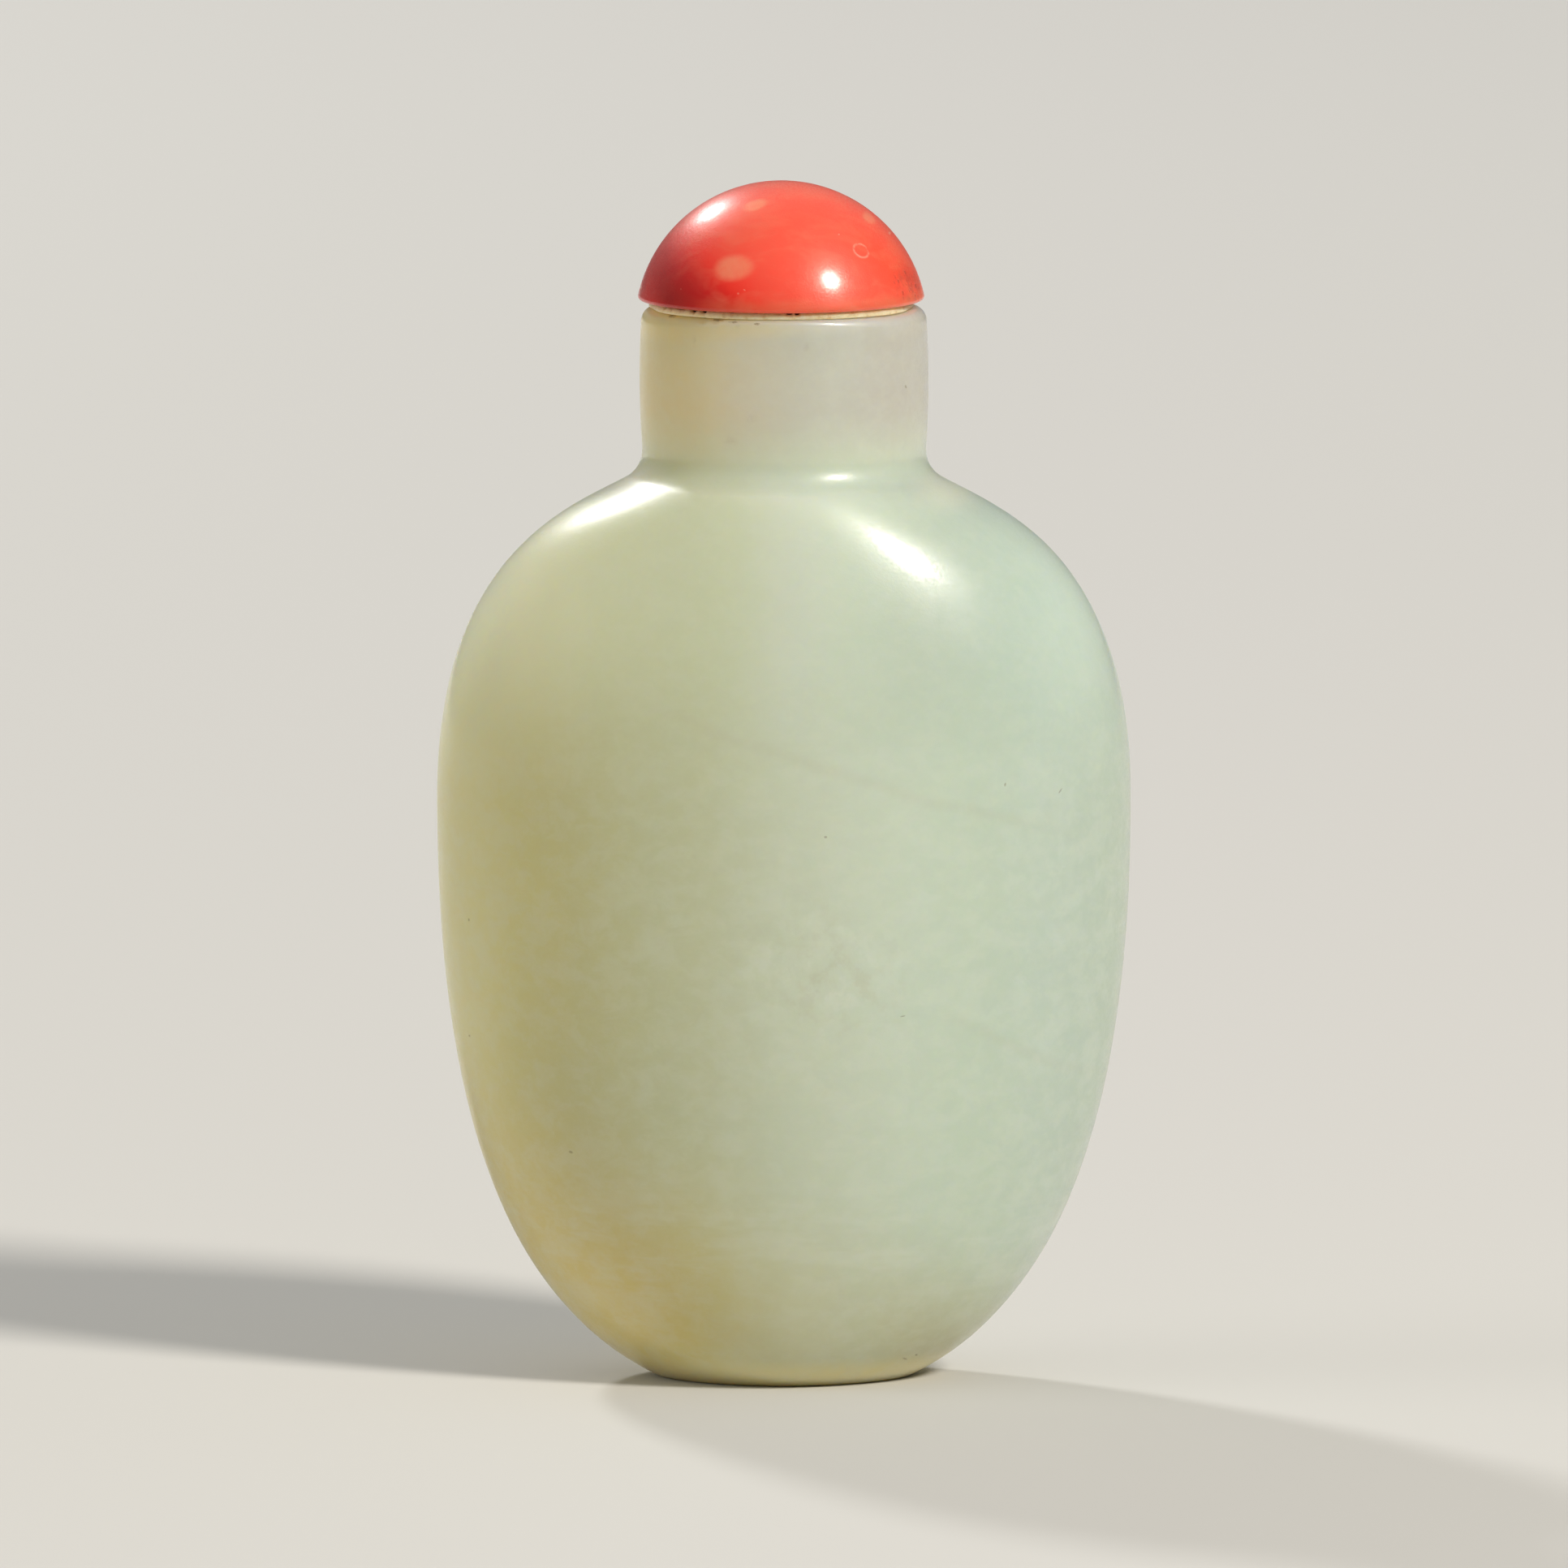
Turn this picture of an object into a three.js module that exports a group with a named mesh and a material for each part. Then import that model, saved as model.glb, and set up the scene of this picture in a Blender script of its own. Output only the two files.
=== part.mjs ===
// A hollow jade snuff bottle of flattened egg shape, with a domed coral stopper on a cork plug.
// Millimetres, +Z up, origin at the centre of the underside; the broad faces look along -Y and +Y.

import * as THREE from "three";

// ---- Driving dimensions ---------------------------------------------------------------------

const bottle = {
  height: 60.3,             // underside to the flat top of the lip
  halfWidth: 19.46,
  halfDepth: 12.5,
  wall: 3.6,                // thickness of the jade at the belly
  floor: 6,                 // thickness of the jade above the foot
};

const foot = {
  halfWidth: 6.8,
  halfDepth: 4.6,
  edgeRadius: 1.2,
  slope: THREE.MathUtils.degToRad(26.6),   // how steeply the body leaves the foot
  lens: 1.8,                // exponent of the outline: 2 is an ellipse, less is a lens
};

// Heights of the widest points, and the lengths of the Bezier handles above and below them.
const frontCurve = { height: 32.7, below: 21.2, atFoot: 7.4, above: 14.1, atShoulder: 3.1 };
const sideCurve = { height: 34.5, below: 17.5, atFoot: 5.6, above: 7.6, atShoulder: 1.0 };

const neck = {
  radius: 8.1,              // at the middle of its slight swelling
  swellHeight: 56.2,
  swellRadius: 55,          // radius of the long curve of the neck's side
  filletHeight: 52.4,       // where the neck's side turns into the fillet
  filletRadius: 1.9,
  shoulderSlope: THREE.MathUtils.degToRad(30.2),
  lipRadius: 0.8,
  boreRadius: 3.6,
  boreEdge: 0.4,            // chamfer round the mouth
};

const chamber = {
  top: 46.4,                // where the bore opens into the chamber
  flareSlope: THREE.MathUtils.degToRad(33),
  above: 10.5,
  side: { above: 5.4 },
  atBore: 3.5,
  below: 17.5,
  atFloor: 6.5,
};

const cap = { height: 6.63, sphereRadius: 8.2, edgeRadius: 0.3, offset: -0.16 };

const cork = { seatRadius: 7, seatThickness: 0.37, topRadius: 3.3, tipRadius: 3.05, length: 8, tipEdge: 0.4 };

const sectors = { bottle: 60, cap: 40, cork: 32 };

// ---- Outlines -------------------------------------------------------------------------------

const point = (radius, height) => new THREE.Vector2(radius, height);

// A point at a distance from another, in the direction of an angle measured from the radius.
const polar = (centre, distance, angle) =>
  point(centre.x + distance * Math.cos(angle), centre.y + distance * Math.sin(angle));

const arc = (centre, radius, from, to) => new THREE.ArcCurve(centre.x, centre.y, radius, from, to, from > to);

const bezier = (...points) => new THREE.CubicBezierCurve(...points);

// Strings curves end to end as one list of points. Each run is [curve, number of steps].
function chain(...runs) {
  const points = [runs[0][0].getPoint(0)];
  for (const [curve, steps] of runs) points.push(...curve.getPoints(steps).slice(1));
  return points;
}

// The radius of an outline at a height, read between its points.
function radiusAt(outline, height) {
  const next = outline.findIndex((p) => p.y >= height);
  if (next < 0) return outline.at(-1).x;
  if (next === 0) return outline[0].x;
  const [low, high] = [outline[next - 1], outline[next]];
  return THREE.MathUtils.mapLinear(height, low.y, high.y, low.x, high.x);
}

// The fillet between shoulder and neck is shared by the front and the side outline.
const swellCentre = point(neck.radius - neck.swellRadius, neck.swellHeight);
const neckAngle = Math.asin((neck.filletHeight - neck.swellHeight) / neck.swellRadius);
const neckFoot = polar(swellCentre, neck.swellRadius, neckAngle);
const filletCentre = polar(neckFoot, neck.filletRadius, neckAngle);
const filletEnd = polar(filletCentre, neck.filletRadius, -Math.PI / 2 - neck.shoulderSlope);

// One outline of the body, from the foot's edge over the widest point to the fillet.
function bodyOutline(footRadius, widest, curve, steps) {
  const edgeCentre = point(footRadius, foot.edgeRadius);
  const edgeEnd = -Math.PI / 2 + foot.slope;
  const start = polar(edgeCentre, foot.edgeRadius, edgeEnd);
  const belly = point(widest, curve.height);
  return chain(
    [arc(edgeCentre, foot.edgeRadius, -Math.PI / 2, edgeEnd), steps.edge],
    [bezier(start, polar(start, curve.atFoot, foot.slope), point(widest, curve.height - curve.below), belly),
      steps.below],
    [bezier(belly, point(widest, curve.height + curve.above),
      polar(filletEnd, curve.atShoulder, -neck.shoulderSlope), filletEnd), steps.above],
  );
}

// The round part: fillet, swelling side, lip, flat top, and the chamfer into the bore.
function neckOutline() {
  const lipCentreHeight = bottle.height - neck.lipRadius;
  const lipAngle = Math.asin((lipCentreHeight - neck.swellHeight) / neck.swellRadius);
  const lipCentre = polar(swellCentre, neck.swellRadius - neck.lipRadius, lipAngle);
  const side = arc(swellCentre, neck.swellRadius, neckAngle, lipAngle);
  const fillet = arc(filletCentre, neck.filletRadius, 3 * Math.PI / 2 - neck.shoulderSlope, Math.PI + neckAngle);
  const mouth = point(neck.boreRadius, bottle.height - neck.boreEdge);
  return [
    ...chain([fillet, 5], [side, 5], [arc(lipCentre, neck.lipRadius, lipAngle, Math.PI / 2), 4]),
    point(neck.boreRadius + neck.boreEdge, bottle.height),
    mouth,
  ];
}

// One outline of the chamber, from the bore's lower end down to the middle of its floor.
function chamberOutline(widest, height, above, steps) {
  const boreEnd = point(neck.boreRadius, chamber.top);
  const belly = point(widest, height);
  return chain(
    [bezier(boreEnd, polar(boreEnd, chamber.atBore, -chamber.flareSlope), point(widest, height + above), belly),
      steps],
    [bezier(belly, point(widest, height - chamber.below), point(chamber.atFloor, bottle.floor),
      point(0, bottle.floor)), steps],
  );
}

// ---- Solids ---------------------------------------------------------------------------------

// Turns stations { width, depth, height, lens } about the axis, then squeezes each ring of points
// from a circle of the station's half-width to its oval.
function ovalTurned(stations, count) {
  const geometry = new THREE.LatheGeometry(stations.map((s) => point(s.width, s.height)), count);
  geometry.rotateX(Math.PI / 2);
  const position = geometry.getAttribute("position");
  for (let i = 0; i < position.count; i++) {
    const { width, depth, lens } = stations[i % stations.length];
    if (width === 0) continue;
    const [across, along] = [position.getX(i) / width, position.getY(i) / width];
    position.setX(i, width * Math.sign(across) * Math.abs(across) ** (2 / lens));
    position.setY(i, depth * Math.sign(along) * Math.abs(along) ** (2 / lens));
  }
  geometry.computeVertexNormals();
  return geometry;
}

const round = (p) => ({ width: p.x, depth: p.x, height: p.y, lens: 2 });

function bottleGeometry() {
  const steps = { edge: 3, below: 16, above: 13 };
  const fineSteps = { edge: 12, below: 200, above: 200 };
  const front = bodyOutline(foot.halfWidth, bottle.halfWidth, frontCurve, steps);
  const side = bodyOutline(foot.halfDepth, bottle.halfDepth, sideCurve, fineSteps);
  const body = front.map((p) => ({
    width: p.x,
    depth: radiusAt(side, p.y),
    height: p.y,
    lens: THREE.MathUtils.lerp(foot.lens, 2, THREE.MathUtils.smoothstep(p.y, 0, filletEnd.y)),
  }));
  const inner = chamberOutline(bottle.halfWidth - bottle.wall, frontCurve.height, chamber.above, 9);
  const innerSide = chamberOutline(bottle.halfDepth - bottle.wall, sideCurve.height, chamber.side.above, 200);
  const hollow = inner.map((p) => ({
    width: p.x,
    depth: radiusAt(innerSide.toReversed(), p.y),
    height: p.y,
    lens: 2,
  }));
  return ovalTurned([round(point(0, 0)), ...body.slice(0, -1), ...neckOutline().map(round), ...hollow],
    sectors.bottle);
}

// A dome with a flat underside at height 0 and a small radius round its lower edge.
function capGeometry() {
  const centre = point(0, cap.height - cap.sphereRadius);
  const edgeAngle = Math.asin((cap.edgeRadius - centre.y) / (cap.sphereRadius - cap.edgeRadius));
  const edgeCentre = polar(centre, cap.sphereRadius - cap.edgeRadius, edgeAngle);
  const profile = [
    point(0, 0),
    ...chain(
      [arc(edgeCentre, cap.edgeRadius, -Math.PI / 2, edgeAngle), 3],
      [arc(centre, cap.sphereRadius, edgeAngle, Math.PI / 2), 12],
    ),
  ];
  profile.at(-1).x = 0;
  return ovalTurned(profile.map(round), sectors.cap);
}

// A slightly tapered plug hanging from height 0, under the thin washer that the cap sits on.
function corkGeometry() {
  const profile = [
    point(0, -cork.length),
    point(cork.tipRadius - cork.tipEdge, -cork.length),
    point(cork.tipRadius, cork.tipEdge - cork.length),
    point(cork.topRadius, 0),
    point(cork.seatRadius, 0),
    point(cork.seatRadius, cork.seatThickness),
    point(0, cork.seatThickness),
  ];
  return ovalTurned(profile.map(round), sectors.cork);
}

// ---- Assembly -------------------------------------------------------------------------------

function piece(name, geometry, material, x, z) {
  const mesh = new THREE.Mesh(geometry, new THREE.MeshStandardMaterial(material));
  mesh.name = name;
  mesh.position.set(x, 0, z);
  return mesh;
}

const jade = { color: 0xc0c5a6, roughness: 0.25, metalness: 0 };
const coral = { color: 0xf0644c, roughness: 0.2, metalness: 0 };
const corkBark = { color: 0xc9a67c, roughness: 0.9, metalness: 0 };

const snuffBottle = new THREE.Group();
snuffBottle.add(
  piece("bottle", bottleGeometry(), jade, 0, 0),
  piece("stopper_cork", corkGeometry(), corkBark, 0, bottle.height),
  piece("stopper_cap", capGeometry(), coral, cap.offset, bottle.height + cork.seatThickness),
);

export default snuffBottle;
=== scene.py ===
"""A jade snuff bottle with a coral stopper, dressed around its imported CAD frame.

Metres, +Z up, the broad front face towards -Y. Sizes of shapes are given in millimetres and
turned to metres where a mesh is made.
"""

import logging
import math
from collections.abc import Sequence
from dataclasses import dataclass, replace
from enum import Enum
from functools import reduce

import bpy
import numpy as np
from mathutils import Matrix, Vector, noise


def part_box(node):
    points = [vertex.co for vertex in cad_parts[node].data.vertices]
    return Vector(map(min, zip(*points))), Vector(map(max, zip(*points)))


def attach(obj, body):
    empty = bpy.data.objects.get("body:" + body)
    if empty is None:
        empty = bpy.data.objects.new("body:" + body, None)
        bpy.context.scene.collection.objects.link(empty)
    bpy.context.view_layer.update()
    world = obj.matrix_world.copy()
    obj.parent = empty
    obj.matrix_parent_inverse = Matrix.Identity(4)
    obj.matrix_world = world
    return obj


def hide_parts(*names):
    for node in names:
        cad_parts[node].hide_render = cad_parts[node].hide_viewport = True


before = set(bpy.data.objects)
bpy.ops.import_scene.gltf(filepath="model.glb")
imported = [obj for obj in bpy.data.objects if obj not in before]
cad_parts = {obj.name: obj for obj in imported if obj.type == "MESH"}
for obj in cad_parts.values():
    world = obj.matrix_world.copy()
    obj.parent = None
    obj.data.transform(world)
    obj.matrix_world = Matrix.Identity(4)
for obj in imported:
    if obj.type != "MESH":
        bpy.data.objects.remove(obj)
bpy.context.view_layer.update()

log = logging.getLogger("snuff_bottle")
MM = 0.001

Node = bpy.types.Node
Tree = bpy.types.NodeTree
Socket = bpy.types.NodeSocket
Span = tuple[float, float]
Stops = tuple[tuple[float, str], ...]


# ---- Colour and shader helpers ----


def linear(hex_colour: str) -> tuple[float, float, float, float]:
    """Turn an sRGB hex colour into linear RGBA.

    Args:
        hex_colour: Six hex digits after a hash.

    Returns:
        The linear colour, opaque.
    """
    digits = hex_colour.lstrip("#")
    channels = [int(digits[i : i + 2], 16) / 255 for i in (0, 2, 4)]
    toe = [c / 12.92 if c <= 0.04045 else ((c + 0.055) / 1.055) ** 2.4 for c in channels]
    return (*toe, 1.0)


def feed(node: Node, inputs: dict[str | int, object]) -> None:
    """Set inputs of a node.

    Args:
        node: The node.
        inputs: Each input's value, or what feeds it.
    """
    for key, value in inputs.items():
        value = value.socket if isinstance(value, Level) else value
        if isinstance(value, Socket):
            node.id_data.links.new(value, node.inputs[key])
        else:
            node.inputs[key].default_value = value


def add_node(tree: Tree, kind: str, inputs: dict[str | int, object], **settings: object) -> Node:
    """Add a node with its settings, values and links.

    Args:
        tree: The node tree that it goes into.
        kind: The node's type.
        inputs: Each input's value, or what feeds it.
        **settings: The node's own properties.

    Returns:
        The new node.
    """
    node = tree.nodes.new(kind)
    for key, value in settings.items():
        setattr(node, key, value)
    feed(node, inputs)
    return node


class Arithmetic(Enum):
    """The ways in which two numbers of a pattern meet."""

    ADD = "ADD"
    SUBTRACT = "SUBTRACT"
    MULTIPLY = "MULTIPLY"
    MULTIPLY_ADD = "MULTIPLY_ADD"
    LARGEST = "MAXIMUM"
    SIZE = "ABSOLUTE"


@dataclass(frozen=True)
class Level:
    """A number that varies over a surface, to be reckoned with like any other number."""

    socket: Socket

    def reckon(self, how: Arithmetic, *others: "Level | float") -> "Level":
        """One step of arithmetic, in which this number comes first."""
        inputs = dict(enumerate([self, *others]))
        return Level(add_node(self.socket.id_data, "ShaderNodeMath", inputs, operation=how.value).outputs[0])

    def __add__(self, other: "Level | float") -> "Level":
        """The sum of two numbers."""
        return self.reckon(Arithmetic.ADD, other)

    def __sub__(self, other: "Level | float") -> "Level":
        """The difference of two numbers."""
        return self.reckon(Arithmetic.SUBTRACT, other)

    def __mul__(self, other: "Level | float") -> "Level":
        """The product of two numbers."""
        return self.reckon(Arithmetic.MULTIPLY, other)

    def __abs__(self) -> "Level":
        """The number without its sign."""
        return self.reckon(Arithmetic.SIZE)

    def largest(self, *others: "Level") -> "Level":
        """The largest of this number and others at each place."""
        return reduce(lambda top, other: top.reckon(Arithmetic.LARGEST, other), others, self)

    def ease(self, start: float, end: float, low: float = 0.0, high: float = 1.0) -> "Level":
        """Map the number smoothly from the range start..end to low..high.

        Args:
            start: The value that becomes low.
            end: The value that becomes high.
            low: Result at the start.
            high: Result at the end.

        Returns:
            The mapped number.
        """
        inputs = {"Value": self, "From Min": start, "From Max": end, "To Min": low, "To Max": high}
        node = add_node(self.socket.id_data, "ShaderNodeMapRange", inputs, interpolation_type="SMOOTHSTEP")
        return Level(node.outputs[0])


@dataclass(frozen=True)
class Mark:
    """A pit, scratch or fleck: its middle, half-lengths and lean, in millimetres and degrees."""

    middle: tuple[float, float, float]
    size: tuple[float, float, float]
    tilt: float = 0.0


class Finish:
    """One material's node tree, with the patterns that the object's finishes are made of."""

    def __init__(self, name: str) -> None:
        """Start a material with a Principled shader.

        Args:
            name: The material's name.
        """
        self.material = bpy.data.materials.new(name)
        self.material.use_nodes = True
        self.tree = self.material.node_tree
        self.surface = self.tree.nodes["Principled BSDF"]
        self.place = add_node(self.tree, "ShaderNodeTexCoord", {}).outputs["Object"]
        self.colour: Socket | tuple[float, float, float, float] = linear("#ffffff")

    def lay(self, amount: Level, over: Socket | str) -> None:
        """Lay a colour over the finish's colour so far.

        Args:
            amount: How much of it shows, 0 to 1.
            over: A pattern's colour, or an sRGB colour.
        """
        # A mixing node's sockets share their names: 0 is its share, 6 and 7 the colours, 2 the result.
        inputs = {0: amount, 6: self.colour, 7: linear(over) if isinstance(over, str) else over}
        mixed = add_node(self.tree, "ShaderNodeMix", inputs, data_type="RGBA", clamp_factor=True)
        self.colour = mixed.outputs[2]

    def spread(self, sizes_mm: Sequence[float], shift: Sequence[float]) -> Socket:
        """The position counted in lumps of a size along each axis, moved so that two patterns differ."""
        inputs = {"Vector": self.place, "Location": shift, "Scale": [1 / (size * MM) for size in sizes_mm]}
        return add_node(self.tree, "ShaderNodeMapping", inputs).outputs[0]

    def cloud(self, size_mm: float, detail: float = 3.0, rough: float = 0.5,
              stretch: Sequence[float] = (1, 1, 1), shift: float = 0.0, distort: float = 0.0) -> Level:
        """Soft noise whose lumps are about a given size.

        Args:
            size_mm: Width of one lump.
            detail: Number of finer layers.
            rough: Strength of the finer layers.
            stretch: How many times longer the lumps are along X, Y and Z.
            shift: Moves the pattern, so that two clouds differ.
            distort: How much the pattern folds into itself.

        Returns:
            A number near 0.5, from about 0.25 to 0.75.
        """
        place = self.spread([size_mm * s for s in stretch], (shift, shift * 0.7, -shift))
        inputs = {"Vector": place, "Scale": 1.0, "Detail": detail, "Roughness": rough, "Distortion": distort}
        return Level(add_node(self.tree, "ShaderNodeTexNoise", inputs).outputs[0])

    def pores(self, spacing_mm: float, shift: float) -> Level:
        """Scattered holes: the distance from the nearest one's middle, counted in their spacing."""
        place = self.spread((spacing_mm,) * 3, (shift, -shift, shift * 0.5))
        cells = add_node(self.tree, "ShaderNodeTexVoronoi", {"Vector": place, "Scale": 1.0})
        return Level(cells.outputs["Distance"])

    def bands(self, value: Level, stops: Stops) -> Socket:
        """Colour that runs smoothly through a row of stops.

        Args:
            value: The number that picks the colour.
            stops: The values in rising order, each with its sRGB colour.

        Returns:
            The colour.
        """
        low, span = stops[0][0], stops[-1][0] - stops[0][0]
        share = value.reckon(Arithmetic.MULTIPLY_ADD, 1 / span, -low / span)
        node = add_node(self.tree, "ShaderNodeValToRGB", {0: share})
        node.color_ramp.interpolation = "CARDINAL"
        elements = node.color_ramp.elements
        elements.remove(elements[1])
        for place, colour in stops:
            element = elements[0] if place == low else elements.new((place - low) / span)
            element.color = linear(colour)
        elements[0].position = 0.0
        return node.outputs["Color"]

    def axis(self, name: str) -> Level:
        """The position along one axis, in millimetres."""
        return Level(add_node(self.tree, "ShaderNodeSeparateXYZ", {0: self.place}).outputs[name]) * (1 / MM)

    def reach(self, mark: Mark) -> Level:
        """Distance from a mark's middle, counted in its own half-lengths.

        Args:
            mark: The mark.

        Returns:
            0 at the middle, 1 on the mark's edge.
        """
        inputs = {
            "Vector": self.place,
            "Location": [c * MM for c in mark.middle],
            "Rotation": (0, math.radians(mark.tilt), 0),
            "Scale": [size * MM for size in mark.size],
        }
        local = add_node(self.tree, "ShaderNodeMapping", inputs, vector_type="TEXTURE").outputs[0]
        length = add_node(self.tree, "ShaderNodeVectorMath", {0: local}, operation="LENGTH")
        return Level(length.outputs["Value"])

    def near(self, mark: Mark, soft: float) -> Level:
        """A mark's strength: 1 inside it, falling to 0 at its edge over the soft share of its radius."""
        return self.reach(mark).ease(1.0, 1.0 - soft)

    def any_of(self, marks: Sequence[Mark], soft: float) -> Level:
        """The strength of whichever mark is nearest."""
        first, *others = [self.near(mark, soft) for mark in marks]
        return first.largest(*others)

    def wander(self, size_mm: float, shift: float, far_mm: float) -> Level:
        """How far a boundary wanders: a slow cloud, centred on 0, in millimetres."""
        return (self.cloud(size_mm, shift=shift) - 0.5) * far_mm

    def close(self, roughness: Level, height: Level, depth_mm: float,
              values: dict[str, object]) -> bpy.types.Material:
        """Wire the colour and the patterns into the surface.

        Args:
            roughness: The roughness.
            height: The relief, 0 to 1.
            depth_mm: What 1 in the relief stands for.
            values: The constant values of the surface's own sockets.

        Returns:
            The finished material.
        """
        relief = {"Height": height, "Distance": depth_mm * MM, "Strength": 1.0}
        bump = add_node(self.tree, "ShaderNodeBump", relief).outputs[0]
        wires = {"Base Color": self.colour, "Roughness": roughness, "Normal": bump}
        feed(self.surface, {**wires, "Subsurface Scale": 1.0, **values})
        return self.material


# ---- Finishes ----


@dataclass(frozen=True)
class CeladonNephrite:
    """Nephrite jade, ground and hand-polished: waxy, cloudy, with a warmer skin at one side and the foot, and
    painted light and shade in its colours.
    """

    # Colours from -X to +X, in millimetres: the boulder's olive skin side to its clean green side. These rows
    # also carry painted light and shade: they are lifted towards the -X edge, standing in for the rim light's
    # glow through the stone, and held darker across the side that the key light falls on.
    belly: Stops = (
        (-17.5, "#dcd598"), (-15, "#d3cc8c"), (-12, "#c7c38c"), (-8, "#c1c399"), (-4, "#c2c7a6"),
        (-1, "#c5cdb4"), (3, "#c7d1bd"), (7, "#c5d2c0"), (11, "#bdccba"), (15, "#b6c5b7"),
        (18.5, "#aebdad"),
    )
    shoulder: Stops = (
        (-17, "#f9f8d3"), (-14, "#e7e7c1"), (-11, "#d7dab6"), (-7, "#cbd0b0"), (-3, "#c9d0b4"),
        (0, "#cbd3c1"), (4, "#c4d0be"), (8, "#b6c4b4"), (13, "#b5c6b9"), (17, "#c0d0c4"),
    )
    neck: Stops = (
        (-7.5, "#dcca91"), (-5, "#e2d3a3"), (-3, "#d5ccaf"), (0, "#c5c3b2"), (3, "#bebfb3"), (6, "#b7b5ab"),
    )
    foot: Stops = (
        (-9, "#d4c47e"), (-5, "#d1c786"), (-2, "#cfcda1"), (2, "#c7c9a8"), (5, "#c0c19d"), (8, "#bab58b"),
    )
    # The lip's colours are lightened as painted light, against the shade under the cap.
    lip: Stops = (
        (-7, "#f4d48c"), (-3, "#efd094"), (0, "#e4d4a8"), (3, "#e6dfc4"), (7, "#e0d6c2"),
    )
    # The heights over which each of these takes over, in millimetres.
    shoulder_rise: Span = (32, 45)
    neck_rise: Span = (49.5, 53.5)
    foot_fall: Span = (14.5, 1.0)
    lip_rise: Span = (59.0, 60.3)
    # How far the last two rise for each millimetre towards -X.
    foot_lean: float = 0.4
    lip_lean: float = -0.1
    lip_share: float = 0.7

    # The green of the shoulder comes in below the neck and goes out up it.
    green_root: str = "#d5e7c8"
    green_rise: Span = (50.2, 51.8)
    green_end: Span = (55.5, 52.0)
    green_share: float = 0.34
    # Painted light at both sides of the neck's root, where the crease lies in shade.
    painted_root_light: str = "#fbf6dc"
    painted_root_lights: tuple[Mark, ...] = (
        Mark((-8.6, -1.0, 50.8), (3.2, 9.0, 1.5)),
        Mark((9.0, -1.0, 50.2), (3.2, 9.0, 1.6)),
    )
    painted_root_light_share: float = 0.35
    # Painted light along the foot's lowest edge, against the shade where it meets the floor.
    painted_foot_light: str = "#efe09c"
    painted_foot_light_fall: Span = (2.0, 0.5)
    painted_foot_light_share: float = 0.8

    milk: str = "#dde2d6"
    vein: str = "#a79e7c"
    brown_mark: str = "#7a5628"
    dark_fill: str = "#5f4a26"
    cotton_mm: float = 1.5
    cotton_share: float = 0.15
    streak_mm: float = 2.2
    streak_share: float = 0.2
    fibre_mm: float = 0.6
    fibre_share: float = 0.08
    fleck_mm: float = 1.6
    milk_fleck_share: float = 0.28
    tan_fleck_share: float = 0.18
    cloudy_patch: Mark = Mark((2.3, -12, 24.2), (8, 9, 5.5), 12)
    # Height on the axis, slope, and the ends along X of each healed crack.
    cracks: tuple[tuple[float, float, float, float], ...] = ((36.4, 0.33, -7.0, 15.0), (26.3, 0.5, 9.0, 18.0))
    crack_half_width: float = 0.6
    crack_share: float = 0.09

    # Small pits and scratches that hold dirt, on the front face, neck and foot.
    nicks: tuple[Mark, ...] = (
        Mark((15.4, -7.5, 33.9), (0.06, 0.6, 0.22), 35),
        Mark((12.3, -9.5, 34.5), (0.07, 0.6, 0.14), 10),
        Mark((2.3, -12.4, 31.9), (0.12, 0.6, 0.09)),
        Mark((6.6, -11.1, 21.7), (0.2, 0.6, 0.05), -12),
        Mark((-17.6, -4.7, 26.3), (0.06, 0.6, 0.12)),
        Mark((-17.6, -3.5, 19.6), (0.08, 0.6, 0.08)),
        Mark((-11.9, -7.6, 13.6), (0.16, 0.6, 0.1), 15),
        Mark((10.4, -4.8, 49.2), (0.28, 0.5, 0.05), 25),
        Mark((9.8, -4.4, 49.8), (0.05, 0.5, 0.22), -40),
        Mark((6.8, -4.5, 56.2), (0.07, 0.5, 0.16), -20),
        Mark((6.8, -4.7, 1.5), (0.25, 0.6, 0.1), 30),
        Mark((7.4, -4.3, 1.7), (0.1, 0.6, 0.1)),
        Mark((12.8, -8.2, 43.5), (0.05, 0.5, 0.08)),
        Mark((3.75, -8.4, 51.7), (0.32, 0.6, 0.07), 8),
    )
    nick_share: float = 0.42
    nick_depth: float = 6.0
    # Brown marks on the lip's top, close under the cap's edge.
    lip_marks: tuple[Mark, ...] = (
        Mark((-3.8, -7.1, 60.2), (0.55, 0.8, 0.1)),
        Mark((-4.4, -6.7, 60.26), (0.25, 0.8, 0.06)),
        Mark((-2.85, -7.5, 60.14), (0.33, 0.7, 0.08)),
        Mark((-1.5, -7.8, 60.08), (0.22, 0.6, 0.08)),
        Mark((-6.4, -4.6, 60.2), (0.5, 0.7, 0.15)),
    )
    # Faint smudges in the polish of the neck.
    smudges: tuple[Mark, ...] = (
        Mark((-3.0, -7.5, 53.5), (0.6, 1.2, 0.4)),
        Mark((-1.8, -7.8, 54.8), (0.5, 1.2, 0.35)),
        Mark((1.25, -8.0, 58.8), (0.3, 0.9, 0.4)),
        Mark((-5.0, -6.3, 59.0), (0.2, 0.9, 0.4)),
    )
    smudge_share: float = 0.14

    # The grit of the polish is finer than this, and is drawn as coarse as it has to be to show.
    grain_mm: float = 0.16
    roughness: Span = (0.29, 0.43)
    relief_mm: float = 0.0032

    def ground(self, f: Finish, x: Level, z: Level) -> None:
        """The stone's colour from place to place, with painted light and shade, before its clouds and dirt.

        Args:
            f: The finish that it goes into.
            x: The place from side to side.
            z: The height.
        """
        wander = f.wander(size_mm=12, shift=3.1, far_mm=2.8)
        across = x + wander
        height = z + wander
        upper = height.ease(*self.shoulder_rise)
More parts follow.
